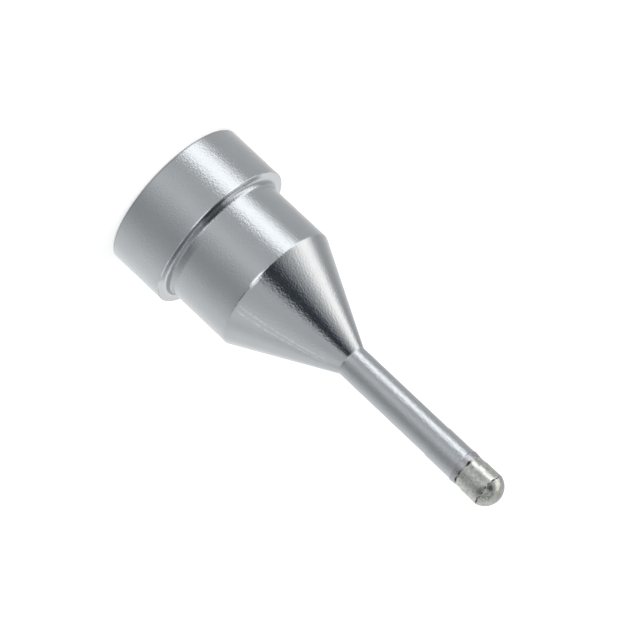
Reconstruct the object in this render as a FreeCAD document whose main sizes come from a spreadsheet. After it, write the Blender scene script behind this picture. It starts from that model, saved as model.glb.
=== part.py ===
import FreeCAD, Part
import Sketcher
import math
import os

# Long desoldering nozzle that stands on the rear face of its collar, with the tip up.
# Every size is in millimetres, and an angle in degrees.
DRIVING_SIZES = {
    # Turned outside of the nozzle body, from the rear face up
    "ledge_width": 0.92,
    "collar_length": 4.65,
    "barrel_wall": 1.1,
    "barrel_length": 5.6,
    "cone_length": 7.55,
    "stem_plating_thickness": 0.08,
    "stem_length": 8.45,
    "end_plating_thickness": 0.04,
    "end_plating_length": 2.34,
    "lip_height": 0.055,
    "lip_rise_length": 0.14,
    "lip_fall_height": 0.04,
    "lip_fall_length": 0.47,
    "bare_end_wall": 0.65,
    # Air path through the nozzle body, from the rear face up
    "socket_diameter": 8.0,
    "socket_depth": 8.0,
    "seat_angle": 118.0,
    "feed_length": 4.0,
    "shoulder_angle": 118.0,
    "shoulder_width": 0.5,
    "bore_diameter": 1.0,
    # Broken edges and blended corners of the nozzle body
    "rear_edge_chamfer": 0.1,
    "socket_mouth_chamfer": 0.3,
    "collar_edge_radius": 0.06,
    "ledge_root_radius": 0.5,
    "barrel_edge_radius": 0.4,
    "stem_root_radius": 0.45,
    "lip_edge_radius": 0.03,
    # Solder that coats the bare end and closes the bore
    "coat_neck_thickness": 0.12,
    "coat_neck_length": 0.42,
    "coat_swell_height": 0.04,
    "coat_swell_length": 0.26,
    "coat_sleeve_length": 1.35,
    "dome_height": 1.0,
    "plug_depth": 0.8,
}

# Diameters worked out from the driving sizes, from the bore and the socket outwards
FEED_DIAMETER = "Sizes.bore_diameter + 2 * Sizes.shoulder_width"
BARREL_DIAMETER = "Sizes.socket_diameter + 2 * Sizes.barrel_wall"
COLLAR_DIAMETER = f"{BARREL_DIAMETER} + 2 * Sizes.ledge_width"
BARE_END_DIAMETER = "Sizes.bore_diameter + 2 * Sizes.bare_end_wall"
STEM_DIAMETER = f"{BARE_END_DIAMETER} + 2 * Sizes.stem_plating_thickness"
PLATED_END_DIAMETER = f"{STEM_DIAMETER} + 2 * Sizes.end_plating_thickness"
LIP_DIAMETER = f"{PLATED_END_DIAMETER} + 2 * Sizes.lip_height"
LIP_END_DIAMETER = f"{LIP_DIAMETER} - 2 * Sizes.lip_fall_height"
COAT_NECK_DIAMETER = f"{BARE_END_DIAMETER} + 2 * Sizes.coat_neck_thickness"
COAT_SLEEVE_DIAMETER = f"{COAT_NECK_DIAMETER} + 2 * Sizes.coat_swell_height"

# Lengths and heights along the axis
BARE_END_LENGTH = "Sizes.coat_neck_length + Sizes.coat_swell_length + Sizes.coat_sleeve_length"
LEDGE_HEIGHT = "Sizes.collar_length"
CONE_HEIGHT = f"{LEDGE_HEIGHT} + Sizes.barrel_length"
STEM_HEIGHT = f"{CONE_HEIGHT} + Sizes.cone_length"
PLATED_END_HEIGHT = f"{STEM_HEIGHT} + Sizes.stem_length"
LIP_HEIGHT = f"{PLATED_END_HEIGHT} + Sizes.end_plating_length + Sizes.lip_rise_length"
BARE_END_HEIGHT = f"{LIP_HEIGHT} + Sizes.lip_fall_length"
BODY_LENGTH = f"{BARE_END_HEIGHT} + {BARE_END_LENGTH}"
SEAT_DEPTH = f"(Sizes.socket_diameter - ({FEED_DIAMETER})) / 2 / tan(Sizes.seat_angle / 2 * 1deg)"
SHOULDER_DEPTH = "Sizes.shoulder_width / tan(Sizes.shoulder_angle / 2 * 1deg)"
BORE_LENGTH = f"{BODY_LENGTH} - Sizes.socket_depth - {SEAT_DEPTH} - Sizes.feed_length - {SHOULDER_DEPTH}"

# The dome is a cap of a ball that is a little wider than the sleeve, so it meets it in a crease
DOME_RADIUS = f"((({COAT_SLEEVE_DIAMETER}) / 2) ^ 2 + Sizes.dome_height ^ 2) / (2 * Sizes.dome_height)"
DOME_SINK = f"({DOME_RADIUS} - Sizes.dome_height)"

# How far an edge may lie from the circle that it is looked for at
EDGE_TOLERANCE = 0.001

# Ends of a sketch line, and a sketch's own origin
START, END = 1, 2
ORIGIN = (-1, 1)


def make_size_sheet(document):
    """Give each driving size a cell of its own, under its name."""
    sheet = document.addObject("Spreadsheet::Sheet", "Sizes")
    for row, (alias, value) in enumerate(DRIVING_SIZES.items(), start=1):
        sheet.set(f"A{row}", alias.replace("_", " "))
        sheet.set(f"B{row}", str(value))
        sheet.setAlias(f"B{row}", alias)
    document.recompute()
    return sheet


def size_of(item, expression):
    """Return the number that an expression on the size sheet comes to."""
    return float(item.evalExpression(expression))


def make_body(document, label):
    """Add an empty body, whose label names its file."""
    body = document.addObject("PartDesign::Body", label)
    body.Label = label
    body.Placement = FreeCAD.Placement()
    return body


def bind(sketch, name, expression, kind, *where):
    """Dimension part of a sketch by an expression on the size sheet."""
    value = size_of(sketch, expression)
    index = sketch.addConstraint(Sketcher.Constraint(kind, *where, value))
    sketch.renameConstraint(index, name)
    sketch.setExpression(f"Constraints.{name}", expression)


def turned_sketch(body, name, stretches):
    """Draw half of a turned section on the body's upright plane, against its axis.

    A stretch is (name, lower diameter, upper diameter, length), from the origin up.
    A level step joins two stretches wherever their diameters differ.
    """
    sketch = body.newObject("Sketcher::SketchObject", name)
    upright_plane = next(plane for plane in body.Origin.OriginFeatures if plane.Role == "XZ_Plane")
    sketch.AttachmentSupport = [(upright_plane, "")]
    sketch.MapMode = "FlatFace"

    lines = []
    corner = FreeCAD.Vector(0, 0, 0)

    def draw_to(x, y, direction=None):
        nonlocal corner
        target = FreeCAD.Vector(x, y, 0)
        line = sketch.addGeometry(Part.LineSegment(corner, target), False)
        if lines:
            sketch.addConstraint(Sketcher.Constraint("Coincident", lines[-1], END, line, START))
        if direction:
            sketch.addConstraint(Sketcher.Constraint(direction, line))
        lines.append(line)
        corner = target
        return line

    def dimension_radius(dimension, diameter, line):
        bind(sketch, dimension, f"({diameter}) / 2", "DistanceX", *ORIGIN, line, END)

    previous_diameter = "0"
    for stretch, lower_diameter, upper_diameter, length in stretches:
        lower_radius = size_of(sketch, f"({lower_diameter}) / 2")
        upper_radius = size_of(sketch, f"({upper_diameter}) / 2")
        upper_height = corner.y + size_of(sketch, length)
        if lower_diameter != previous_diameter:
            step = draw_to(lower_radius, corner.y, "Horizontal")
            dimension_radius(f"{stretch}_lower_radius", lower_diameter, step)
        if lower_diameter == upper_diameter:
            side = draw_to(upper_radius, upper_height, "Vertical")
        else:
            side = draw_to(upper_radius, upper_height)
            dimension_radius(f"{stretch}_upper_radius", upper_diameter, side)
        bind(sketch, f"{stretch}_length", length, "DistanceY", side, START, side, END)
        previous_diameter = upper_diameter

    draw_to(0, corner.y, "Horizontal")
    axis_line = draw_to(0, 0, "Vertical")
    sketch.addConstraint(Sketcher.Constraint("Coincident", axis_line, END, lines[0], START))
    sketch.addConstraint(Sketcher.Constraint("Coincident", lines[0], START, *ORIGIN))
    return sketch


def turn(body, kind, name, stretches):
    """Turn a section into solid with a Revolution, or out of it with a Groove."""
    volume_before = body.Shape.Volume if kind == "PartDesign::Groove" else 0.0
    sketch = turned_sketch(body, f"{name}_section", stretches)
    feature = body.newObject(kind, name)
    feature.Profile = sketch
    feature.ReferenceAxis = (sketch, ["V_Axis"])
    feature.Angle = 360
    sketch.Visibility = False
    body.Document.recompute()
    if kind == "PartDesign::Groove" and not body.Shape.Volume < volume_before:
        raise RuntimeError(f"{name} cuts nothing")
    return feature


def dress_edge(body, kind, name, diameter, height, size_property, size):
    """Add a fillet or chamfer to the round edge at a diameter and height on the axis."""
    radius = size_of(body, f"({diameter}) / 2")
    level = size_of(body, height)
    base = body.Tip
    for number, edge in enumerate(base.Shape.Edges, start=1):
        circle = edge.Curve
        if not isinstance(circle, Part.Circle):
            continue
        gap = math.hypot(circle.Radius - radius, circle.Center.z - level)
        if gap < EDGE_TOLERANCE:
            feature = body.newObject(kind, name)
            feature.Base = (base, [f"Edge{number}"])
            feature.setExpression(size_property, size)
            body.Document.recompute()
            return feature
    raise RuntimeError(f"{name} found no edge")


def chamfer_edge(body, name, diameter, height, size):
    return dress_edge(body, "PartDesign::Chamfer", name, diameter, height, "Size", size)


def round_edge(body, name, diameter, height, size):
    return dress_edge(body, "PartDesign::Fillet", name, diameter, height, "Radius", size)


def make_nozzle_body(document):
    """The turned and bored nozzle, in one piece from its collar to its bare end."""
    body = make_body(document, "nozzle_body")
    turn(body, "PartDesign::Revolution", "turned_outside", [
        ("collar", COLLAR_DIAMETER, COLLAR_DIAMETER, "Sizes.collar_length"),
        ("barrel", BARREL_DIAMETER, BARREL_DIAMETER, "Sizes.barrel_length"),
        ("cone", BARREL_DIAMETER, STEM_DIAMETER, "Sizes.cone_length"),
        ("stem", STEM_DIAMETER, STEM_DIAMETER, "Sizes.stem_length"),
        ("plated_end", PLATED_END_DIAMETER, PLATED_END_DIAMETER, "Sizes.end_plating_length"),
        ("lip_rise", PLATED_END_DIAMETER, LIP_DIAMETER, "Sizes.lip_rise_length"),
        ("lip_fall", LIP_DIAMETER, LIP_END_DIAMETER, "Sizes.lip_fall_length"),
        ("bare_end", BARE_END_DIAMETER, BARE_END_DIAMETER, BARE_END_LENGTH),
    ])
    turn(body, "PartDesign::Groove", "air_path", [
        ("socket", "Sizes.socket_diameter", "Sizes.socket_diameter", "Sizes.socket_depth"),
        ("seat", "Sizes.socket_diameter", FEED_DIAMETER, SEAT_DEPTH),
        ("feed", FEED_DIAMETER, FEED_DIAMETER, "Sizes.feed_length"),
        ("shoulder", FEED_DIAMETER, "Sizes.bore_diameter", SHOULDER_DEPTH),
        ("bore", "Sizes.bore_diameter", "Sizes.bore_diameter", BORE_LENGTH),
    ])
    chamfer_edge(body, "rear_edge", COLLAR_DIAMETER, "0", "Sizes.rear_edge_chamfer")
    chamfer_edge(body, "socket_mouth", "Sizes.socket_diameter", "0", "Sizes.socket_mouth_chamfer")
    round_edge(body, "collar_edge", COLLAR_DIAMETER, LEDGE_HEIGHT, "Sizes.collar_edge_radius")
    round_edge(body, "ledge_root", BARREL_DIAMETER, LEDGE_HEIGHT, "Sizes.ledge_root_radius")
    round_edge(body, "barrel_edge", BARREL_DIAMETER, CONE_HEIGHT, "Sizes.barrel_edge_radius")
    round_edge(body, "stem_root", STEM_DIAMETER, STEM_HEIGHT, "Sizes.stem_root_radius")
    round_edge(body, "lip_edge", LIP_END_DIAMETER, BARE_END_HEIGHT, "Sizes.lip_edge_radius")
    return body


def make_tinned_tip(document):
    """The solder that coats the nozzle's bare end, domes over it and plugs the bore."""
    body = make_body(document, "tinned_tip")
    body.setExpression("Placement.Base.z", BARE_END_HEIGHT)
    turn(body, "PartDesign::Revolution", "solder_coat", [
        ("neck", COAT_NECK_DIAMETER, COAT_NECK_DIAMETER, "Sizes.coat_neck_length"),
        ("swell", COAT_NECK_DIAMETER, COAT_SLEEVE_DIAMETER, "Sizes.coat_swell_length"),
        ("sleeve", COAT_SLEEVE_DIAMETER, COAT_SLEEVE_DIAMETER, "Sizes.coat_sleeve_length"),
    ])

    dome = body.newObject("PartDesign::AdditiveSphere", "solder_dome")
    dome.setExpression("Radius", DOME_RADIUS)
    dome.setExpression("Angle1", f"asin({DOME_SINK} / ({DOME_RADIUS}))")
    dome.Angle2 = 90
    dome.setExpression("Placement.Base.z", f"{BARE_END_LENGTH} - {DOME_SINK}")
    document.recompute()

    turn(body, "PartDesign::Groove", "bare_end_seat", [
        ("seat", BARE_END_DIAMETER, BARE_END_DIAMETER, BARE_END_LENGTH),
    ])

    plug = body.newObject("PartDesign::AdditiveCylinder", "bore_plug")
    plug.setExpression("Radius", "Sizes.bore_diameter / 2")
    plug.setExpression("Height", "Sizes.plug_depth")
    plug.setExpression("Placement.Base.z", f"{BARE_END_LENGTH} - Sizes.plug_depth")
    document.recompute()
    return body


def check_document(document, bodies):
    """Stop if anything failed to build, before any file is written."""
    document.recompute()
    for item in document.Objects:
        if "Invalid" in item.State or "Error" in item.State:
            raise RuntimeError(f"{item.Label} failed to build")
    for body in bodies:
        if body.Shape.isNull() or not body.Shape.isValid() or len(body.Shape.Solids) != 1:
            raise RuntimeError(f"{body.Label} is not one valid solid")


def write_parts(bodies):
    os.makedirs("parts", exist_ok=True)
    for body in bodies:
        body.Shape.exportStep(f"parts/{body.Label}.step")


document = FreeCAD.newDocument("desoldering_nozzle")
make_size_sheet(document)
bodies = [make_nozzle_body(document), make_tinned_tip(document)]
check_document(document, bodies)
write_parts(bodies)
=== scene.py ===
import math

import bmesh
import bpy
from mathutils import Matrix, Vector


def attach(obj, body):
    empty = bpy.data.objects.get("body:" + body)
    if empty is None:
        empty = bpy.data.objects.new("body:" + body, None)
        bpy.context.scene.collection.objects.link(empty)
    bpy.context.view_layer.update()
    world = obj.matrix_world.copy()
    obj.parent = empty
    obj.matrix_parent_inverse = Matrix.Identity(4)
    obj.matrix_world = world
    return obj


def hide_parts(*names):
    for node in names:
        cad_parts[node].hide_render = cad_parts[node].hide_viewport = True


# Looks for the desoldering nozzle, in metres and in the frame of the CAD model: the nozzle
# stands on its collar at the origin, with its axis along +Z and its tip up.
MM = 0.001

# Turned outside of the nozzle body, as the CAD model has it
COLLAR_RADIUS = 6.02 * MM
BARREL_RADIUS = 5.1 * MM
STEM_RADIUS = 1.23 * MM
PLATED_END_RADIUS = 1.27 * MM
LIP_RADIUS = 1.325 * MM
LIP_END_RADIUS = 1.285 * MM
BARE_END_RADIUS = 1.15 * MM
LEDGE_HEIGHT = 4.65 * MM
CONE_HEIGHT = 10.25 * MM
STEM_HEIGHT = 17.8 * MM
PLATED_END_HEIGHT = 26.25 * MM
LIP_FOOT_HEIGHT = 28.59 * MM
LIP_HEIGHT = 28.73 * MM
BARE_END_HEIGHT = 29.2 * MM
BODY_LENGTH = 31.23 * MM
REAR_EDGE_CHAMFER = 0.1 * MM
COLLAR_EDGE_RADIUS = 0.06 * MM
LEDGE_ROOT_RADIUS = 0.5 * MM
BARREL_EDGE_RADIUS = 0.4 * MM
STEM_ROOT_RADIUS = 0.45 * MM
LIP_EDGE_RADIUS = 0.03 * MM
BROKEN_EDGE_RADIUS = 0.015 * MM

# Air path through the nozzle body
SOCKET_RADIUS = 4.0 * MM
SOCKET_MOUTH_CHAMFER = 0.3 * MM
SOCKET_DEPTH = 8.0 * MM
FEED_RADIUS = 1.0 * MM
FEED_LENGTH = 4.0 * MM
BORE_RADIUS = 0.5 * MM
DRILL_POINT_SLOPE = math.tan(math.radians(59))

# Solder on the bare end
COAT_NECK_RADIUS = 1.27 * MM
COAT_SLEEVE_RADIUS = 1.31 * MM
COAT_NECK_LENGTH = 0.42 * MM
COAT_SWELL_LENGTH = 0.26 * MM
COAT_SWELL_RADIUS = 0.1 * MM
DOME_HEIGHT = 1.0 * MM
DOME_RADIUS = (COAT_SLEEVE_RADIUS**2 + DOME_HEIGHT**2) / (2 * DOME_HEIGHT)
PLUG_DEPTH = 0.8 * MM

# How finely the turned surfaces are divided
SEGMENTS_AROUND = 240
LONGEST_RUN = 0.5 * MM
ARC_STEP = math.radians(9)
DOME_STEPS = 28
CRISP_ANGLE = math.radians(24)
ON_AXIS = 1e-6 * MM

# Camera of the photograph: a long lens that looks down on the collar's front, rolled until
# the tip points to the lower right. The pixels are those of the 640 by 640 photograph.
PIXEL = 0.06972 * MM
FOCAL_PIXELS = 4785.0
IMAGE_SIDE_PIXELS = 640.0
VIEW_ELEVATION = math.radians(16.17)
VIEW_ROLL = math.radians(133.3)
LOOK_AT = Vector((-0.561 * MM, 0.0, 14.107 * MM))
SENSOR_WIDTH_MM = 36.0
NEAREST_SEEN = 10 * MM

# The studio as the metal sees it, level by azimuth in degrees. Azimuth 0 is the camera's side,
# and 90 the side that the photograph shows at the upper right. Level 1 is white.
# The levels were typed, and adjusted in several rounds until the reflections agreed
# with greys measured across the part in the photograph. Only camera rays see plain white.
LOW_RING = [
    (-180, 0.95), (-144, 1.15), (-106, 1.03), (-60, 0.58), (-41, 0.54), (-23, 0.68), (0, 0.99),
    (23, 0.8), (45, 0.77), (53, 2.3), (74, 2.25), (87, 0.74), (144, 0.76), (180, 0.95),
]
MIDDLE_RING = [
    (-180, 0.85), (-125, 1.1), (-80, 0.75), (-48, 0.18), (-30, 0.25), (-17, 1.1), (-6, 1.7),
    (4, 1.6), (10, 1.2), (20, 0.9), (45, 0.8), (57, 2.1), (102, 2.1), (114, 0.75), (128, 0.6),
    (180, 0.85),
]
HIGH_RING = [
    (-180, 0.85), (-125, 1.15), (-102, 0.83), (-88, 1.03), (-64, 0.98), (-54, 0.84),
    (-30, 0.76), (-12, 0.84), (-2, 0.6), (4, 0.06), (30, 0.08), (37, 0.2), (44, 0.46),
    (59, 0.66), (67, 1.0), (82, 1.75), (94, 2.15), (105, 2.0), (110, 1.5), (117, 0.78),
    (128, 0.62), (140, 0.8), (180, 0.85),
]
OVERHEAD_LEVEL = 0.8
WHITE = (1.0, 1.0, 1.0, 1.0)
SHADE_BLUE = (0.85, 1.0, 1.19, 1.0)
WARM_LAMP = (1.05, 1.0, 0.96, 1.0)

# How the rings of the studio blend with the height of a direction, which is 1 straight up
MIDDLE_RING_SPAN = (-0.03, 0.05)
HIGH_RING_SPAN = (0.2, 0.32)
OVERHEAD_SPAN = (0.85, 0.95)
SHADE_SPAN = (0.0, 0.5)
LAMP_SPAN = (0.8, 1.6)

# Metal colours
PLATING_DARK = (0.385, 0.407, 0.425, 1)
PLATING_LIGHT = (0.43, 0.455, 0.473, 1)
# Pale bare metal for wear and scratches, also used for painted glints and painted sheen
WEAR_AND_HIGHLIGHT_METAL = (0.85, 0.88, 0.92, 1)
# Heat tint, also used for painted shade on the lip
HEAT_TINT_AND_SHADE = (0.335, 0.333, 0.352, 1)
# Dark colour of grime, also used for painted shade
GRIME_AND_SHADE = (0.15, 0.165, 0.18, 1)
BURNT_FLUX = (0.055, 0.063, 0.073, 1)
DARK_FLUX = (0.03, 0.033, 0.036, 1)
SOLDER_DARK = (0.36, 0.375, 0.352, 1)
SOLDER_LIGHT = (0.53, 0.55, 0.52, 1)
SOLDER_DULL = (0.3, 0.314, 0.292, 1)

# Gloss and relief. A relief is the height of the bump at a noise of 1, and a share is of that.
CLOUD_SPAN = (0.3, 0.7)
PLATING_ROUGHNESS = (0.09, 0.13)
CONE_ROUGHNESS = 0.06
GRIME_ROUGHNESS = 0.4
SLEEVE_ROUGHNESS = 0.2
DOME_ROUGHNESS = 0.29
GRAIN_RELIEF = 0.02 * MM
STEM_GRAIN_SHARE = 1.5
SOLDER_RELIEF = 0.009 * MM
MOTTLE_RELIEF_SHARE = 0.8
LINE_RELIEF_SHARE = -1.5

# Noise scales, for a point in metres
CLOUD_SCALE = 700.0
PATCHY_SCALE = 900.0
LINE_BREAK_SCALE = 1500.0
FLUX_WANDER_SCALE = 1900.0
WANDER_SCALE = 2600.0
LINE_EDGE_SCALE = 3200.0
SCRATCH_BREAK_SCALE = 3300.0
MOTTLE_SCALE = 3600.0
BLOT_SCALE = 4500.0
GRAIN_SCALE = 6500.0

# Extent of each mark on the plating. A SPAN runs from a mark's start to its end, and a REACH
# from where a mark is full to where it has faded.
CONE_SPAN = (CONE_HEIGHT - 0.03 * MM, CONE_HEIGHT + 0.05 * MM)
STEM_SPAN = (STEM_HEIGHT - 0.2 * MM, STEM_HEIGHT + 0.1 * MM)
# Heat tint on the lip, darkened further as painted shade
HEAT_SHADE_SPAN = (LIP_FOOT_HEIGHT - 0.1 * MM, LIP_HEIGHT)
HEAT_SHADE_SIDE_SPAN = (-0.9 * MM, -0.3 * MM)
HEAT_SHADE_SIDE_SHARES = (0.9, 0.6)
LEDGE_TOP_REACH = (LEDGE_HEIGHT + 0.02 * MM, LEDGE_HEIGHT + 0.12 * MM)
LEDGE_RIM_REACH = (COLLAR_RADIUS - 0.07 * MM, COLLAR_RADIUS - 0.03 * MM)
LEDGE_ROOT_SPAN = (BARREL_RADIUS, BARREL_RADIUS + 0.02 * MM)
# Painted sheen on the ledge's face, a little stronger on the -X side
LEDGE_SHEEN_SIDE_SPAN = (-4.4 * MM, -2.8 * MM)
LEDGE_SHEEN_SHARES = (0.6, 0.5)

# Grime in the ledge's root, with painted shade: lighter towards the -X side, darker on the other
ROOT_GRIME_SHADE_RADIUS = BARREL_RADIUS + 0.13 * MM
ROOT_GRIME_SHADE_HEIGHT = LEDGE_HEIGHT + 0.165 * MM
ROOT_GRIME_SHADE_REACH = (0.07 * MM, 0.2 * MM)
ROOT_GRIME_SHADE_SIDE_SPAN = (-3.1 * MM, -1.5 * MM)
ROOT_GRIME_SHADE_SHARES = (0.15, 0.75)
# Painted shade near the ledge's root on the +X side of the barrel
SIDE_SHADE_REACH = (0.7 * MM, 0.95 * MM)
SIDE_SHADE_SIDE_SPAN = (0.8 * MM, 2.4 * MM)
SIDE_SHADE_END_REACH = (2.9 * MM, 4.8 * MM)
SIDE_SHADE_SHARE = 0.5
GRIME_SHADE_WANDER = 0.2 * MM
GRIME_SHADE_SHARE = 0.9
BURNT_PLACE = Vector((-1.1, -5.5, 4.65)) * MM
BURNT_REACH = (0.6 * MM, 1.5 * MM)
BURNT_TOP_REACH = (LEDGE_HEIGHT + 0.22 * MM, LEDGE_HEIGHT + 0.36 * MM)
BURNT_WANDER = 1.0 * MM
BURNT_SHARE = 0.8

REAR_RIM_REACH = (0.11 * MM, 0.19 * MM)
REAR_RIM_SHARE = 0.5
COLLAR_EDGE_REACH = (0.05 * MM, 0.11 * MM)
COLLAR_WEAR_SPAN = (0.45, 0.6)
COLLAR_WEAR_SHARE = 0.3
# Painted glint on the collar's front edge, at the camera's side
EDGE_GLINT_PLACE = Vector((0.0, -6.02, 4.65)) * MM
EDGE_GLINT_REACH = (0.5 * MM, 1.3 * MM)
CONE_EDGE_HEIGHT = CONE_HEIGHT + 0.05 * MM
CONE_EDGE_REACH = (0.12 * MM, 0.2 * MM)
CONE_EDGE_WANDER = 0.3 * MM
# Painted glint on the barrel's edge at the cone, at the camera's side
CONE_GLINT_PLACE = Vector((0.4, -5.08, 10.3)) * MM
CONE_GLINT_REACH = (0.3 * MM, 0.9 * MM)

# Angles from the camera's side where each scratch starts and ends, in radians
SCRATCH_ANGLES = [(0.53, 0.78), (0.62, 0.9)]
SCRATCH_WIDTH_REACH = (0.02 * MM, 0.15 * MM)
SCRATCH_BREAK_SPAN = (0.36, 0.62)
SCRATCH_START_SPAN = (0.02, 0.04)
SCRATCH_END_REACH = (0.8, 0.97)
SCRATCH_SHARE = 0.22

# Dark lines, with the bend and the ragged edge of a line in half widths
LINE_BEND = 4.0
LINE_RAGGED = 4.0
LINE_RAGGED_MIDDLE = 1.9
LINE_FULL = 0.5
LINE_NONE = 1.6
LINE_BREAK_SPAN = (0.4, 0.56)
SEAM_HEIGHT = BARE_END_HEIGHT - 0.04 * MM
SEAM_HALF_WIDTH = 0.04 * MM
FOOT_LINE_HEIGHT = BARE_END_HEIGHT + 0.03 * MM
FOOT_LINE_HALF_WIDTH = 0.06 * MM
SEAM_SIDE_SPAN = (-0.85 * MM, -0.55 * MM)
CREASE_HEIGHT = BODY_LENGTH + 0.03 * MM
CREASE_HALF_WIDTH = 0.065 * MM

# Marks on the solder
MOTTLE_SPAN = (0.32, 0.68)
DOME_SPAN = (BODY_LENGTH, BODY_LENGTH + 0.1 * MM)
DOME_DULL_SHARE = 0.2
SMUDGE_PLACE = Vector((0.35, -1.15, 31.45)) * MM
SMUDGE_REACH = (0.4 * MM, 0.8 * MM)
BLOT_SPAN = (0.42, 0.56)
SMUDGE_SHARE = 0.5

FLOOR_SIDE = 4.0
FLOOR_GAP = 0.02 * MM
FLOOR_COLOUR = (0.8, 0.8, 0.8, 1)
FLOOR_LIFT = 0.5


class Nodes:
    """Short calls that build one node tree."""

    def __init__(self, tree):
        self.tree = tree
        tree.nodes.clear()

    def add(self, kind, inputs=None, **settings):
        node = self.tree.nodes.new(kind)
        for name, value in settings.items():
            setattr(node, name, value)
        for socket, value in (inputs or {}).items():
            self.feed(node.inputs[socket], value)
        return node

    def feed(self, socket, value):
        if isinstance(value, bpy.types.NodeSocket):
            self.tree.links.new(value, socket)
        else:
            socket.default_value = value

    def math(self, operation, *values):
        node = self.add("ShaderNodeMath", operation=operation)
        for socket, value in zip(node.inputs, values):
            self.feed(socket, value)
        return node.outputs[0]

    def product(self, first, *others):
        for other in others:
            first = self.math("MULTIPLY", first, other)
        return first

    def highest(self, first, *others):
        for other in others:
            first = self.math("MAXIMUM", first, other)
        return first

    def centred(self, value, swing):
        """Turn a noise of 0 to 1 into a length that swings evenly about 0."""
        return self.math("MULTIPLY_ADD", value, swing, -swing / 2)

    def ease(self, value, low, high, at_low=0.0, at_high=1.0):
        """Go smoothly from one number to another while a value goes from low to high."""
        node = self.add("ShaderNodeMapRange", interpolation_type="SMOOTHSTEP")
        for socket, number in zip(node.inputs, (value, low, high, at_low, at_high)):
            self.feed(socket, number)
        return node.outputs[0]

    def fade(self, value, full, none):
        """Go smoothly from 1 to 0 while a value goes from full to none."""
        return self.ease(value, full, none, 1.0, 0.0)

    def blend(self, factor, first, second):
        """Mix two numbers."""
        return self.add("ShaderNodeMix", {0: factor, 2: first, 3: second}).outputs[0]

    def blend_colour(self, factor, first, second):
        """Mix two colours."""
        node = self.add("ShaderNodeMix", data_type="RGBA")
        for socket, value in ((0, factor), (6, first), (7, second)):
            self.feed(node.inputs[socket], value)
        return node.outputs[2]

    def noise(self, vector, scale, detail, roughness=0.5):
        inputs = {"Vector": vector, "Scale": scale, "Detail": detail, "Roughness": roughness}
        return self.add("ShaderNodeTexNoise", inputs).outputs["Fac"]


def arc_corner(before, corner, after, radius):
    """Points of an arc that rounds a corner between two straight runs."""
    to_before = (before - corner).normalized()
    to_after = (after - corner).normalized()
    half_angle = to_before.angle(to_after) / 2
    reach = radius / math.tan(half_angle)
    centre = corner + (to_before + to_after).normalized() * (radius / math.sin(half_angle))
    start = corner + to_before * reach - centre
    end = corner + to_after * reach - centre
    sweep = start.angle_signed(end)
    steps = max(2, math.ceil(abs(sweep) / ARC_STEP))
    turns = [Matrix.Rotation(-sweep * step / steps, 2) for step in range(steps + 1)]
    return [centre + turn @ start for turn in turns]


def outline(corners, closed):
    """Turn (radius, height, corner radius) corners into a finely divided outline."""
    points = [Vector(corner[:2]) for corner in corners]
    rounded = []
    for index, (radius, height, blend) in enumerate(corners):
        is_end = not closed and index in (0, len(corners) - 1)
        if blend and not is_end:
            before = points[index - 1]
            after = points[(index + 1) % len(points)]
            rounded += arc_corner(before, points[index], after, blend)
        else:
            rounded.append(points[index])
    divided = []
    following = rounded[1:] + rounded[:1] if closed else rounded[1:]
    for start, end in zip(rounded, following):
        parts = max(1, math.ceil((end - start).length / LONGEST_RUN))
        divided += [start.lerp(end, part / parts) for part in range(parts)]
    if not closed:
        divided.append(rounded[-1])
    return divided


def ring_of_points(mesh, radius, height):
    """One ring of mesh points, or a single point where the ring closes on the axis."""
    if radius < ON_AXIS:
        return [mesh.verts.new((0, 0, height))]
    ring = []
    for segment in range(SEGMENTS_AROUND):
        turn = 2 * math.pi * segment / SEGMENTS_AROUND
        ring.append(mesh.verts.new((radius * math.cos(turn), radius * math.sin(turn), height)))
    return ring


def join_rings(mesh, lower, upper):
    """Faces between two rings, which are triangles where one of them is a single point."""
    for segment in range(SEGMENTS_AROUND):
        following = (segment + 1) % SEGMENTS_AROUND
        corners = [
            lower[segment % len(lower)],
            lower[following % len(lower)],
            upper[following % len(upper)],
            upper[segment % len(upper)],
        ]
        mesh.faces.new(list(dict.fromkeys(corners)))


def lathe(name, points, closed):
    """Turn an outline about the axis into a piece with smooth shading and crisp corners."""
    mesh = bmesh.new()
    rings = [ring_of_points(mesh, radius, height) for radius, height in points]
    following = rings[1:] + rings[:1] if closed else rings[1:]
    for lower, upper in zip(rings, following):
        join_rings(mesh, lower, upper)
    bmesh.ops.recalc_face_normals(mesh, faces=mesh.faces[:])
    data = bpy.data.meshes.new(name)
    mesh.to_mesh(data)
    mesh.free()
    data.shade_smooth()
    data.set_sharp_from_angle(angle=CRISP_ANGLE)
    piece = bpy.data.objects.new(name, data)
    bpy.context.scene.collection.objects.link(piece)
    weighting = piece.modifiers.new("weighted_normals", "WEIGHTED_NORMAL")
    weighting.keep_sharp = True
    return piece


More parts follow.
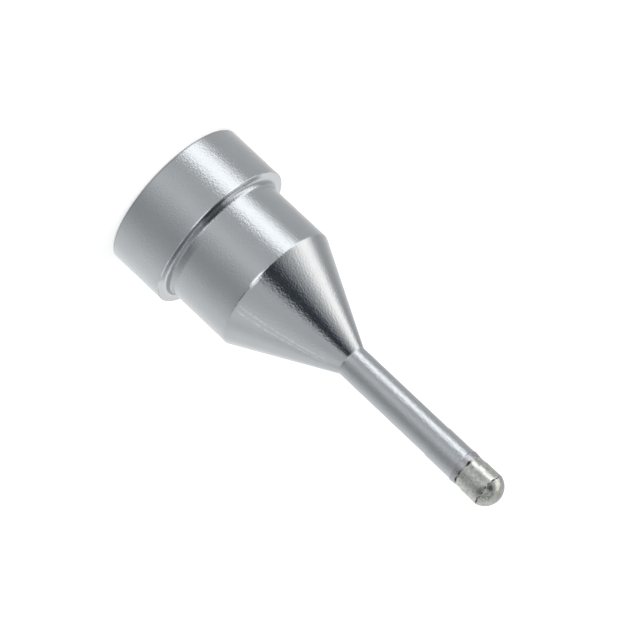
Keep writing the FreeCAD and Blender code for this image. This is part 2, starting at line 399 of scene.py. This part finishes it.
def body_corners():
    """The nozzle body's section, up the outside and back down the air path."""
    seat_top = SOCKET_DEPTH + (SOCKET_RADIUS - FEED_RADIUS) / DRILL_POINT_SLOPE
    feed_top = seat_top + FEED_LENGTH
    bore_foot = feed_top + (FEED_RADIUS - BORE_RADIUS) / DRILL_POINT_SLOPE
    return [
        (SOCKET_RADIUS + SOCKET_MOUTH_CHAMFER, 0, BROKEN_EDGE_RADIUS),
        (COLLAR_RADIUS - REAR_EDGE_CHAMFER, 0, BROKEN_EDGE_RADIUS),
        (COLLAR_RADIUS, REAR_EDGE_CHAMFER, BROKEN_EDGE_RADIUS),
        (COLLAR_RADIUS, LEDGE_HEIGHT, COLLAR_EDGE_RADIUS),
        (BARREL_RADIUS, LEDGE_HEIGHT, LEDGE_ROOT_RADIUS),
        (BARREL_RADIUS, CONE_HEIGHT, BARREL_EDGE_RADIUS),
        (STEM_RADIUS, STEM_HEIGHT, STEM_ROOT_RADIUS),
        (STEM_RADIUS, PLATED_END_HEIGHT, BROKEN_EDGE_RADIUS),
        (PLATED_END_RADIUS, PLATED_END_HEIGHT, BROKEN_EDGE_RADIUS),
        (PLATED_END_RADIUS, LIP_FOOT_HEIGHT, BROKEN_EDGE_RADIUS),
        (LIP_RADIUS, LIP_HEIGHT, BROKEN_EDGE_RADIUS),
        (LIP_END_RADIUS, BARE_END_HEIGHT, LIP_EDGE_RADIUS),
        (BARE_END_RADIUS, BARE_END_HEIGHT, 0),
        (BARE_END_RADIUS, BODY_LENGTH, 0),
        (BORE_RADIUS, BODY_LENGTH, 0),
        (BORE_RADIUS, bore_foot, 0),
        (FEED_RADIUS, feed_top, 0),
        (FEED_RADIUS, seat_top, 0),
        (SOCKET_RADIUS, SOCKET_DEPTH, 0),
        (SOCKET_RADIUS, SOCKET_MOUTH_CHAMFER, BROKEN_EDGE_RADIUS),
    ]


def tip_outline():
    """The solder's section, from the plug's foot out round the coat and over the dome."""
    swell_foot = BARE_END_HEIGHT + COAT_NECK_LENGTH
    inside = [
        (0, BODY_LENGTH - PLUG_DEPTH, 0),
        (BORE_RADIUS, BODY_LENGTH - PLUG_DEPTH, 0),
        (BORE_RADIUS, BODY_LENGTH, 0),
        (BARE_END_RADIUS, BODY_LENGTH, 0),
        (BARE_END_RADIUS, BARE_END_HEIGHT, 0),
        (COAT_NECK_RADIUS, BARE_END_HEIGHT, 0),
        (COAT_NECK_RADIUS, swell_foot, COAT_SWELL_RADIUS),
        (COAT_SLEEVE_RADIUS, swell_foot + COAT_SWELL_LENGTH, COAT_SWELL_RADIUS),
        (COAT_SLEEVE_RADIUS, BODY_LENGTH, 0),
    ]
    points = outline(inside, closed=False)
    dome_centre = BODY_LENGTH + DOME_HEIGHT - DOME_RADIUS
    foot_angle = math.acos(COAT_SLEEVE_RADIUS / DOME_RADIUS)
    for step in range(1, DOME_STEPS + 1):
        angle = foot_angle + (math.pi / 2 - foot_angle) * step / DOME_STEPS
        radius = DOME_RADIUS * math.cos(angle) if step < DOME_STEPS else 0.0
        points.append(Vector((radius, dome_centre + DOME_RADIUS * math.sin(angle))))
    return points


class Place:
    """Where a point of the piece lies, in metres from the frame's origin and axis."""

    def __init__(self, nodes):
        self.nodes = nodes
        self.point = nodes.add("ShaderNodeTexCoord").outputs["Object"]
        axes = nodes.add("ShaderNodeSeparateXYZ", {0: self.point})
        self.across = axes.outputs["X"]
        towards_camera = nodes.math("MULTIPLY", axes.outputs["Y"], -1.0)
        self.angle = nodes.math("ARCTAN2", axes.outputs["X"], towards_camera)
        self.height = axes.outputs["Z"]
        across = nodes.add("ShaderNodeCombineXYZ", {0: axes.outputs["X"], 1: axes.outputs["Y"]})
        length = nodes.add("ShaderNodeVectorMath", {0: across.outputs[0]}, operation="LENGTH")
        self.radius = length.outputs["Value"]

    def near_ring(self, radius, height, full, none, wander=0.0):
        """1 close to a circle about the axis, fading to 0, with an edge that may wander."""
        nodes = self.nodes
        out = nodes.math("POWER", nodes.math("SUBTRACT", self.radius, radius), 2.0)
        up = nodes.math("POWER", nodes.math("SUBTRACT", self.height, height), 2.0)
        away = nodes.math("SQRT", nodes.math("ADD", out, up))
        return nodes.fade(nodes.math("ADD", away, wander), full, none)

    def near_point(self, point, full, none, wander=0.0):
        """1 close to a point, fading to 0, with an edge that may wander."""
        nodes = self.nodes
        ends = {0: self.point, 1: point}
        away = nodes.add("ShaderNodeVectorMath", ends, operation="DISTANCE").outputs["Value"]
        return nodes.fade(nodes.math("ADD", away, wander), full, none)

    def line_at(self, height, half_width, wander):
        """1 on a thin line round the axis, which a noise bends and breaks."""
        nodes = self.nodes
        swing = LINE_BEND * half_width
        bend = nodes.math("MULTIPLY_ADD", wander, swing, height - swing / 2)
        off = nodes.math("ABSOLUTE", nodes.math("SUBTRACT", self.height, bend))
        edge = nodes.noise(self.point, LINE_EDGE_SCALE, 3.0)
        ragged = nodes.math("MULTIPLY_ADD", edge, LINE_RAGGED, -LINE_RAGGED_MIDDLE)
        off = nodes.math("ADD", off, nodes.product(ragged, half_width))
        line = nodes.fade(off, LINE_FULL * half_width, LINE_NONE * half_width)
        breaks = nodes.noise(self.point, LINE_BREAK_SCALE, 3.0, 0.7)
        return nodes.product(line, nodes.ease(breaks, *LINE_BREAK_SPAN))


def scratch(nodes, place, foot_angle, end_angle):
    """1 on a fine scratch down the cone, between two angles from the camera's side."""
    climbed = nodes.math("SUBTRACT", place.height, CONE_HEIGHT)
    share = nodes.math("DIVIDE", climbed, STEM_HEIGHT - CONE_HEIGHT)
    aim = nodes.math("MULTIPLY_ADD", share, end_angle - foot_angle, foot_angle)
    off = nodes.math("ABSOLUTE", nodes.math("SUBTRACT", place.angle, aim))
    line = nodes.fade(nodes.product(off, place.radius), *SCRATCH_WIDTH_REACH)
    breaks = nodes.noise(place.point, SCRATCH_BREAK_SCALE, 4.0, 0.75)
    breaks = nodes.ease(breaks, *SCRATCH_BREAK_SPAN)
    on_cone = nodes.ease(share, *SCRATCH_START_SPAN)
    before_stem = nodes.fade(share, *SCRATCH_END_REACH)
    return nodes.product(line, breaks, on_cone, before_stem)


def bare_plating(nodes, place, cloud):
    """Cloudy plating, darkened on the lip next to the solder by heat tint and painted shade, more
    on the -X side.
    """
    plain = nodes.blend_colour(cloud, PLATING_DARK, PLATING_LIGHT)
    # Heat tint with painted shade on the lip
    heat_tint_and_shade = nodes.ease(place.height, *HEAT_SHADE_SPAN)
    side = nodes.ease(place.across, *HEAT_SHADE_SIDE_SPAN, *HEAT_SHADE_SIDE_SHARES)
    return nodes.blend_colour(nodes.product(heat_tint_and_shade, side), plain, HEAT_TINT_AND_SHADE)


def paint_ledge_sheen(nodes, place, colour):
    """The ledge's face is painted paler than the plating round it, a little more on the -X side:
    painted sheen.
    """
    on_ledge = nodes.fade(place.height, *LEDGE_TOP_REACH)
    off_wall = nodes.fade(place.radius, *LEDGE_RIM_REACH)
    outside = nodes.ease(place.radius, *LEDGE_ROOT_SPAN)
    faced = nodes.product(on_ledge, off_wall, outside)
    share = nodes.ease(place.across, *LEDGE_SHEEN_SIDE_SPAN, *LEDGE_SHEEN_SHARES)
    return nodes.blend_colour(nodes.product(faced, share), colour, WEAR_AND_HIGHLIGHT_METAL)


def ledge_grime_and_shade(nodes, place, wander):
    """Where grime and painted shade lie: a grime ring in the ledge's root, lighter towards the -X
    side, and painted shade near the root on the +X side of the barrel.
    """
    edge = nodes.centred(wander, GRIME_SHADE_WANDER)
    root = place.near_ring(ROOT_GRIME_SHADE_RADIUS, ROOT_GRIME_SHADE_HEIGHT, *ROOT_GRIME_SHADE_REACH, edge)
    root_side = nodes.ease(place.across, *ROOT_GRIME_SHADE_SIDE_SPAN, *ROOT_GRIME_SHADE_SHARES)
    side_shade = place.near_ring(BARREL_RADIUS, LEDGE_HEIGHT, *SIDE_SHADE_REACH, edge)
    side_shade_start = nodes.ease(place.across, *SIDE_SHADE_SIDE_SPAN, 0.0, SIDE_SHADE_SHARE)
    side_shade_end = nodes.fade(place.across, *SIDE_SHADE_END_REACH)
    return nodes.highest(nodes.product(root, root_side), nodes.product(side_shade, side_shade_start, side_shade_end))


def burnt_patch(nodes, place, wander):
    """Where flux has burnt on, on the ledge and in its root at the camera's side."""
    patch = place.near_point(BURNT_PLACE, *BURNT_REACH, nodes.centred(wander, BURNT_WANDER))
    in_root = nodes.fade(place.height, *BURNT_TOP_REACH)
    off_wall = nodes.fade(place.radius, *LEDGE_RIM_REACH)
    return nodes.product(patch, in_root, off_wall)


def worn_edges_and_glints(nodes, place, wander):
    """Where the collar's front edge is rubbed bright in patches, partly wear and partly painted
    highlight, with painted glints on it and on the barrel's edge at the cone, at the camera's side.
    """
    patchy = nodes.noise(place.point, PATCHY_SCALE, 2.0)
    patchy = nodes.ease(patchy, *COLLAR_WEAR_SPAN, 0.0, COLLAR_WEAR_SHARE)
    bright = place.near_point(EDGE_GLINT_PLACE, *EDGE_GLINT_REACH)
    collar_edge = place.near_ring(COLLAR_RADIUS, LEDGE_HEIGHT, *COLLAR_EDGE_REACH)
    collar_wear_and_glint = nodes.product(collar_edge, nodes.highest(patchy, bright))
    dent = nodes.centred(wander, CONE_EDGE_WANDER)
    cone_edge = place.near_ring(BARREL_RADIUS, CONE_EDGE_HEIGHT, *CONE_EDGE_REACH, dent)
    cone_glint = nodes.product(cone_edge, place.near_point(CONE_GLINT_PLACE, *CONE_GLINT_REACH))
    return nodes.highest(collar_wear_and_glint, cone_glint)


def finish_metal(nodes, colour, roughness, bump):
    """Close a metal's tree with its shader and output."""
    inputs = {"Base Color": colour, "Metallic": 1.0, "Roughness": roughness}
    shader = nodes.add("ShaderNodeBsdfPrincipled", {**inputs, "Normal": bump.outputs[0]})
    nodes.add("ShaderNodeOutputMaterial", {"Surface": shader.outputs[0]})


def plated_metal():
    """Satin plating with a fine grain, glossier on the cone, with its wear, grime and scratches,
    and painted shade, sheen and glints.
    """
    material = bpy.data.materials.new("satin_plating")
    material.use_nodes = True
    nodes = Nodes(material.node_tree)
    place = Place(nodes)
    cloud = nodes.noise(place.point, CLOUD_SCALE, 3.0, 0.55)
    speckle = nodes.noise(place.point, GRAIN_SCALE, 3.0, 0.6)
    wander = nodes.noise(place.point, WANDER_SCALE, 3.0, 0.6)

    # Painted sheen on the ledge's face
    colour = paint_ledge_sheen(nodes, place, bare_plating(nodes, place, cloud))
    # Grime and painted shade at the ledge's root
    grime_and_shade = ledge_grime_and_shade(nodes, place, wander)
    colour = nodes.blend_colour(nodes.product(grime_and_shade, GRIME_SHADE_SHARE), colour, GRIME_AND_SHADE)
    burnt = burnt_patch(nodes, place, wander)
    colour = nodes.blend_colour(nodes.product(burnt, BURNT_SHARE), colour, BURNT_FLUX)
    rim = place.near_ring(COLLAR_RADIUS, 0.0, *REAR_RIM_REACH)
    colour = nodes.blend_colour(nodes.product(rim, REAR_RIM_SHARE), colour, GRIME_AND_SHADE)
    # Patchy wear on the collar's front edge, partly painted highlight, with painted glints at the
    # camera's side
    colour = nodes.blend_colour(worn_edges_and_glints(nodes, place, wander), colour, WEAR_AND_HIGHLIGHT_METAL)
    scratches = nodes.highest(*[scratch(nodes, place, *angles) for angles in SCRATCH_ANGLES])
    colour = nodes.blend_colour(nodes.product(scratches, SCRATCH_SHARE), colour, WEAR_AND_HIGHLIGHT_METAL)
    seam = place.line_at(SEAM_HEIGHT, SEAM_HALF_WIDTH, wander)
    seam = nodes.product(seam, nodes.ease(place.across, *SEAM_SIDE_SPAN))
    colour = nodes.blend_colour(seam, colour, DARK_FLUX)

    onto_cone = nodes.ease(place.height, *CONE_SPAN)
    onto_stem = nodes.ease(place.height, *STEM_SPAN)
    cone = nodes.math("SUBTRACT", onto_cone, onto_stem)
    grain = nodes.product(speckle, nodes.blend(onto_stem, 1.0, STEM_GRAIN_SHARE))
    relief = {"Strength": 1.0, "Distance": GRAIN_RELIEF, "Height": grain}
    bump = nodes.add("ShaderNodeBump", relief)
    roughness = nodes.ease(cloud, *CLOUD_SPAN, *PLATING_ROUGHNESS)
    roughness = nodes.blend(cone, roughness, CONE_ROUGHNESS)
    roughness = nodes.blend(nodes.highest(grime_and_shade, burnt), roughness, GRIME_ROUGHNESS)
    finish_metal(nodes, colour, roughness, bump)
    return material


def solder():
    """Bright mottled tinning, duller on its dome, with dark flux in lines and one smudge."""
    material = bpy.data.materials.new("bright_solder")
    material.use_nodes = True
    nodes = Nodes(material.node_tree)
    place = Place(nodes)
    mottle = nodes.noise(place.point, MOTTLE_SCALE, 4.0, 0.65)
    speckle = nodes.noise(place.point, GRAIN_SCALE, 2.0, 0.6)
    wander = nodes.noise(place.point, FLUX_WANDER_SCALE, 3.0, 0.6)

    colour = nodes.blend_colour(nodes.ease(mottle, *MOTTLE_SPAN), SOLDER_DARK, SOLDER_LIGHT)
    dull = nodes.ease(place.height, *DOME_SPAN, 0.0, DOME_DULL_SHARE)
    colour = nodes.blend_colour(dull, colour, SOLDER_DULL)
    foot = place.line_at(FOOT_LINE_HEIGHT, FOOT_LINE_HALF_WIDTH, wander)
    foot = nodes.product(foot, nodes.ease(place.across, *SEAM_SIDE_SPAN))
    lines = nodes.highest(foot, place.line_at(CREASE_HEIGHT, CREASE_HALF_WIDTH, wander))
    blots = nodes.ease(nodes.noise(place.point, BLOT_SCALE, 3.0, 0.7), *BLOT_SPAN)
    smudge = nodes.product(place.near_point(SMUDGE_PLACE, *SMUDGE_REACH), blots, SMUDGE_SHARE)
    colour = nodes.blend_colour(nodes.highest(lines, smudge), colour, DARK_FLUX)

    height = nodes.math("MULTIPLY_ADD", mottle, MOTTLE_RELIEF_SHARE, speckle)
    height = nodes.math("MULTIPLY_ADD", lines, LINE_RELIEF_SHARE, height)
    relief = {"Strength": 1.0, "Distance": SOLDER_RELIEF, "Height": height}
    bump = nodes.add("ShaderNodeBump", relief)
    roughness = nodes.ease(place.height, *DOME_SPAN, SLEEVE_ROUGHNESS, DOME_ROUGHNESS)
    finish_metal(nodes, colour, roughness, bump)
    return material


def dress(node, points, closed, material):
    """Make the finely turned piece that stands for a CAD node."""
    piece = lathe(f"{node}_turned", points, closed)
    piece.data.materials.append(material)
    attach(piece, "root")
    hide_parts(node)


def floor_material():
    """Matt white, lifted for the camera, and clear to reflections and from below."""
    material = bpy.data.materials.new("floor")
    material.use_nodes = True
    nodes = Nodes(material.node_tree)
    ray = nodes.add("ShaderNodeLightPath").outputs
    matt = nodes.add("ShaderNodeBsdfDiffuse", {"Color": FLOOR_COLOUR})
    lift = nodes.product(ray["Is Camera Ray"], FLOOR_LIFT)
    glow = nodes.add("ShaderNodeEmission", {"Color": WHITE, "Strength": lift})
    lit = nodes.add("ShaderNodeAddShader", {0: matt.outputs[0], 1: glow.outputs[0]})
    from_below = nodes.add("ShaderNodeNewGeometry").outputs["Backfacing"]
    seen_through = nodes.highest(ray["Is Glossy Ray"], ray["Is Transmission Ray"], from_below)
    clear = nodes.add("ShaderNodeBsdfTransparent")
    shaders = {0: seen_through, 1: lit.outputs[0], 2: clear.outputs[0]}
    surface = nodes.add("ShaderNodeMixShader", shaders)
    nodes.add("ShaderNodeOutputMaterial", {"Surface": surface.outputs[0]})
    return material


def make_floor():
    """A plain white floor just under the nozzle, which keeps its shadow."""
    data = bpy.data.meshes.new("floor")
    half = FLOOR_SIDE / 2
    sides = ((-half, -half), (half, -half), (half, half), (-half, half))
    data.from_pydata([(x, y, -FLOOR_GAP) for x, y in sides], [], [(0, 1, 2, 3)])
    data.materials.append(floor_material())
    floor = bpy.data.objects.new("floor", data)
    bpy.context.scene.collection.objects.link(floor)


def ring_level(nodes, turn, stops):
    """Brightness of one ring of the studio, by its azimuth as a share of a full turn."""
    highest = max(level for azimuth, level in stops)
    node = nodes.add("ShaderNodeValToRGB", {"Fac": turn})
    elements = node.color_ramp.elements
    while len(elements) < len(stops):
        elements.new(0.5)
    for element, (azimuth, level) in zip(elements, stops):
        share = level / highest
        element.position = (azimuth + 180) / 360
        element.color = (share, share, share, 1)
    return nodes.math("MULTIPLY", node.outputs["Color"], highest)


def studio_level(nodes, turn, height):
    """Brightness of the studio by direction, from its three rings and its ceiling."""
    low = ring_level(nodes, turn, LOW_RING)
    middle = ring_level(nodes, turn, MIDDLE_RING)
    high = ring_level(nodes, turn, HIGH_RING)
    level = nodes.blend(nodes.ease(height, *MIDDLE_RING_SPAN), low, middle)
    level = nodes.blend(nodes.ease(height, *HIGH_RING_SPAN), level, high)
    return nodes.blend(nodes.ease(height, *OVERHEAD_SPAN), level, OVERHEAD_LEVEL)


def make_studio():
    """A soft room that lights the object and the floor. The camera itself sees plain white."""
    world = bpy.data.worlds.new("studio")
    bpy.context.scene.world = world
    world.use_nodes = True
    nodes = Nodes(world.node_tree)
    direction = nodes.add("ShaderNodeTexCoord").outputs["Generated"]
    axes = nodes.add("ShaderNodeSeparateXYZ", {0: direction})
    to_left = nodes.product(axes.outputs["X"], -1.0)
    to_camera = nodes.product(axes.outputs["Y"], -1.0)
    azimuth = nodes.math("ARCTAN2", to_left, to_camera)
    turn = nodes.math("MULTIPLY_ADD", azimuth, 1 / (2 * math.pi), 0.5)
    height = axes.outputs["Z"]

    level = studio_level(nodes, turn, height)
    colour = nodes.blend_colour(nodes.ease(level, *SHADE_SPAN), SHADE_BLUE, WHITE)
    in_lamp = nodes.product(nodes.ease(height, *HIGH_RING_SPAN), nodes.ease(level, *LAMP_SPAN))
    colour = nodes.blend_colour(in_lamp, colour, WARM_LAMP)
    is_camera = nodes.add("ShaderNodeLightPath").outputs["Is Camera Ray"]
    level = nodes.blend(is_camera, level, 1.0)
    colour = nodes.blend_colour(is_camera, colour, WHITE)
    background = nodes.add("ShaderNodeBackground", {"Color": colour, "Strength": level})
    nodes.add("ShaderNodeOutputWorld", {"Surface": background.outputs[0]})


def make_camera():
    """Put the camera where the photograph was taken from."""
    distance = FOCAL_PIXELS * PIXEL
    back = Vector((0, -math.cos(VIEW_ELEVATION), math.sin(VIEW_ELEVATION)))
    level_right = Vector((1, 0, 0))
    level_up = back.cross(level_right)
    right = math.cos(VIEW_ROLL) * level_right + math.sin(VIEW_ROLL) * level_up
    up = back.cross(right)
    data = bpy.data.cameras.new("camera")
    data.sensor_width = SENSOR_WIDTH_MM
    data.lens = SENSOR_WIDTH_MM * FOCAL_PIXELS / IMAGE_SIDE_PIXELS
    data.clip_start = NEAREST_SEEN
    camera = bpy.data.objects.new("camera", data)
    facing = Matrix((right, up, back)).transposed().to_4x4()
    camera.matrix_world = Matrix.Translation(LOOK_AT + distance * back) @ facing
    bpy.context.scene.collection.objects.link(camera)
    bpy.context.scene.camera = camera


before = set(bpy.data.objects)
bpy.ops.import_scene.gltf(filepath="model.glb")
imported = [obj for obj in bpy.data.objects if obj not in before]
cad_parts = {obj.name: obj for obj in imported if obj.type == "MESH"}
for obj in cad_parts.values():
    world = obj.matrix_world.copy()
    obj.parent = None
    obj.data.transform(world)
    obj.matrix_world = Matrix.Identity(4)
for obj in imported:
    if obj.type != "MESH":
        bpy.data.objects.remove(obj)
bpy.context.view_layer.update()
bpy.context.scene.view_settings.view_transform = "Standard"
make_camera()
make_studio()
make_floor()
dress("nozzle_body", outline(body_corners(), closed=True), True, plated_metal())
dress("tinned_tip", tip_outline(), False, solder())
